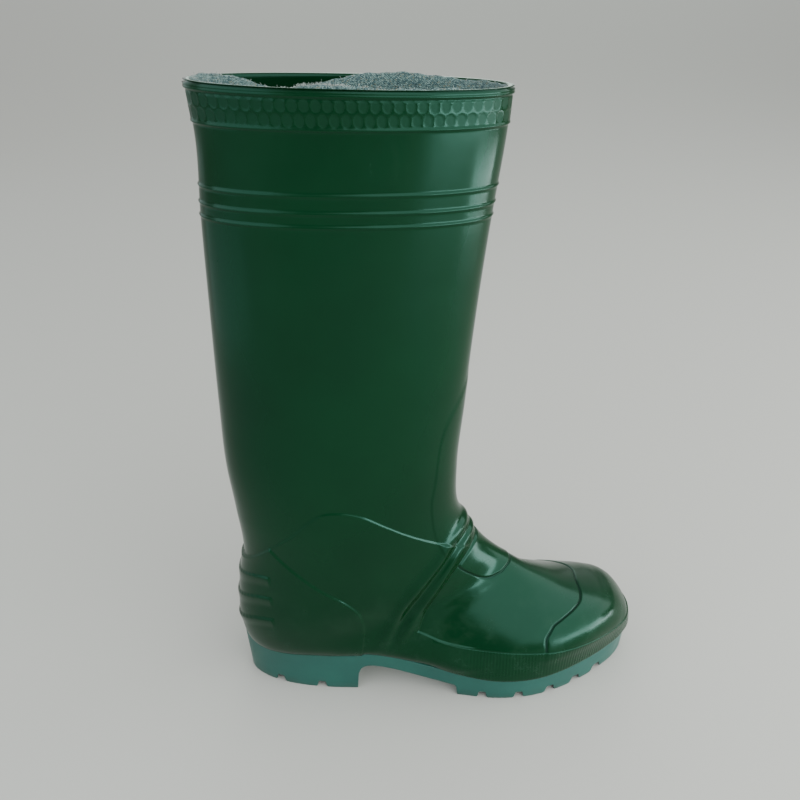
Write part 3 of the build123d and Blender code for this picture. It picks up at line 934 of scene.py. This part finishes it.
def build_fray(material, lining_edge):
    """Loose fibres standing off the cut edge of the lining."""
    random = np.random.default_rng(7)
    points, faces = [], []
    spread = np.r_[random.uniform(*FRAYED_TURNS, FRAYED_FIBRES),
                   random.uniform(0, 2 * pi, OTHER_FIBRES)]
    columns = len(lining_edge)
    for turn in spread:
        root = lining_edge[int(turn / (2 * pi) * columns) % columns]
        heading = random.normal(0, 1, 3)
        heading[2] = abs(heading[2]) + 0.35
        heading /= np.linalg.norm(heading)
        curl = random.normal(0, 0.5, 3)
        long = random.uniform(0.8, 2.6)
        thick = random.uniform(0.07, 0.14)
        base = len(points)
        place = root + np.array([0, 0, -0.5])
        for _ in range(FIBRE_STEPS):
            heading = heading + curl * 0.35
            heading /= np.linalg.norm(heading)
            side = np.cross(heading, (0.3, 0.9, 0.2))
            side /= np.linalg.norm(side)
            other = np.cross(heading, side)
            for corner in range(FIBRE_SIDES):
                angle = corner * 2 * pi / FIBRE_SIDES
                points.append(place + thick * (cos(angle) * side + sin(angle) * other))
            place = place + heading * long / (FIBRE_STEPS - 1)
        for k in range(FIBRE_STEPS - 1):
            for corner in range(FIBRE_SIDES):
                a = base + FIBRE_SIDES * k + corner
                b = base + FIBRE_SIDES * k + (corner + 1) % FIBRE_SIDES
                faces.append([a, b, b + FIBRE_SIDES, a + FIBRE_SIDES])
        tip = base + FIBRE_SIDES * (FIBRE_STEPS - 1)
        faces.append([base + 2, base + 1, base])
        faces.append([tip, tip + 1, tip + 2])
    return add_mesh("lining_fray", points, faces, material)


def build_insole(material, lining_tree):
    """The footbed: a felt pad dished at the heel, filling the sock's floor."""
    stations = np.r_[np.linspace(-134, -126, 5), np.linspace(-122, 120, 78),
                     np.linspace(122, 131, 6)]
    across = np.linspace(-1, 1, 33)
    edge = np.abs(across)
    centre_line = SECTIONS[10:, [0, 5]]
    middles = through(centre_line, np.clip(stations, -136, 133))[:, 0]
    top, bottom = [], []
    for x, middle, z in zip(stations, middles, height(FOOTBED, stations)):
        centre = Vector((x, middle, z)) * MM
        reach = []
        for way in (-1, 1):
            hit = lining_tree.ray_cast(centre, Vector((0, way, 0)))
            reach.append((hit[3] / MM if hit[0] is not None else 2.0) - INSOLE_GAP)
        y = middle + np.where(across < 0, across * reach[0], across * reach[1])
        dish = -INSOLE_DISH * (1 - edge ** 2) * (1 - 0.75 * smooth(x, -60, 0))
        roll = -1.1 * smooth(edge, 0.93, 1.0)
        level = np.full(len(across), z)
        along = np.full(len(across), x)
        top.append(np.column_stack([along, y, level + dish + roll]))
        inner = middle + (y - middle) * 0.985
        bottom.append(np.column_stack([along, inner, level - INSOLE_THICK]))
    top, bottom = np.array(top), np.array(bottom)
    ring = np.concatenate([top, bottom[:, ::-1]], axis=1)
    piece = add_mesh("boot_insole", *closed_tube(ring), material)
    merged(piece)
    return piece


# ---- studio ------------------------------------------------------------------------------
FLOOR_HALF = 60.0
BOOT = (-0.01, 0.0, 0.15)    # where the boot's own lights look
# Even light: (name, heading, strength, spread in degrees, colour).
SUNS = (
    ("ceiling", (0.25, -0.45, -1.0), 1.8, 140, (1.0, 1.0, 1.0)),
    ("behind", (-0.1, -1.0, -0.40), 0.6, 45, (0.75, 1.0, 0.85)),
)
# Soft boxes: (name, place, aim, (width, height), power, colour).
LIGHTS = (
    ("soft_box", (0.95, -0.64, 1.10), (0.0, 0.0, 0.49), (3.4, 1.48), 55, (0.92, 1.0, 0.97)),
    ("window", (1.18, -0.92, 0.25), (0.0, 0.0, 0.25), (1.53, 0.34), 23, (0.95, 1.0, 1.0)),
    ("sill", (0.97, -0.24, 0.03), (0.0, 0.0, 0.03), (0.65, 0.10), 3.4, (0.95, 1.0, 1.0)),
    ("front", (-1.3, -0.95, 0.82), BOOT, (1.6, 1.3), 16, (0.85, 0.98, 1.0)),
    ("left", (-1.55, 0.80, 0.5), BOOT, (1.1, 0.9), 2, (0.7, 0.98, 1.0)),
    ("low_left", (-0.75, -0.15, 0.10), (-0.1, -0.05, 0.10), (0.8, 0.22), 0.3, (0.6, 0.98, 1.0)),
)


def add_floor():
    m = Nodes("floor_pale")
    m.set(Base_Color=(0.42, 0.405, 0.385, 1), Roughness=0.7)
    mesh = bpy.data.meshes.new("floor")
    corners = [(x * FLOOR_HALF, y * FLOOR_HALF, 0) for x, y in ((-1, -1), (1, -1), (1, 1), (-1, 1))]
    mesh.from_pydata(corners, [], [(0, 1, 2, 3)])
    mesh.materials.append(m.material)
    floor = bpy.data.objects.new("floor", mesh)
    bpy.context.scene.collection.objects.link(floor)


def add_light(name, place, aim, size, power, colour):
    """A soft box that looks at a point; size is (width, height) in metres."""
    light = bpy.data.lights.new(name, "AREA")
    light.shape = "RECTANGLE"
    light.size, light.size_y = size
    light.energy = power
    light.color = colour
    holder = bpy.data.objects.new(name, light)
    holder.location = place
    holder.rotation_euler = (Vector(aim) - Vector(place)).to_track_quat("-Z", "Y").to_euler()
    bpy.context.scene.collection.objects.link(holder)


def add_sun(name, heading, strength, spread, colour):
    """Even light from a wide patch of sky; spread is the patch's width in degrees."""
    light = bpy.data.lights.new(name, "SUN")
    light.energy = strength
    light.angle = radians(spread)
    light.color = colour
    holder = bpy.data.objects.new(name, light)
    holder.rotation_euler = Vector(heading).to_track_quat("-Z", "Y").to_euler()
    bpy.context.scene.collection.objects.link(holder)


def add_lights():
    """A pale room, two suns for even light, and soft boxes, the strongest on the toe's side."""
    world = bpy.data.worlds.new("studio")
    bpy.context.scene.world = world
    world.use_nodes = True
    background = world.node_tree.nodes["Background"]
    background.inputs["Color"].default_value = (0.80, 0.86, 0.84, 1)
    background.inputs["Strength"].default_value = 0.45
    for sun in SUNS:
        add_sun(*sun)
    for light in LIGHTS:
        add_light(*light)


def add_camera():
    """Stands in front of the boot's outer side, a little behind its middle, and looks down."""
    tilt, pan = radians(29.2), radians(3.0)
    ahead = Vector((sin(pan) * cos(tilt), cos(pan) * cos(tilt), -sin(tilt)))
    right = Vector((cos(pan), -sin(pan), 0.0))
    up = right.cross(ahead)
    turned = Matrix((right, up, -ahead)).transposed().to_4x4()
    data = bpy.data.cameras.new("camera")
    data.sensor_width = 36.0
    data.lens = 36.0
    camera = bpy.data.objects.new("camera", data)
    camera.matrix_world = Matrix.Translation((-0.0527, -0.4348, 0.4637)) @ turned
    bpy.context.scene.collection.objects.link(camera)
    bpy.context.scene.camera = camera


def tree_of(grid):
    """A grid that is closed round, ready for rays to be cast at it."""
    rows, columns = grid.shape[:2]
    points = (grid.reshape(-1, 3) * MM).tolist()
    return BVHTree.FromPolygons(points, tube_faces(rows, columns).tolist())


add_camera()
add_lights()
add_floor()

green = glossy_green()
skin, matt, groove_shade = outer_skin()
skin_tree = tree_of(skin)
upper = build_upper(green, skin, matt, groove_shade)
rand = build_rand(green, skin_tree)
outsole = build_outsole(teal_rubber(), skin_tree)
lining, lining_inside = build_lining(knit())
fray = build_fray(fuzz(), lining_inside[0])
insole = build_insole(felt(), tree_of(lining_inside))

for piece, node in ((upper, "upper"), (outsole, "outsole"), (lining, "lining"),
                    (insole, "insole")):
    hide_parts(node)
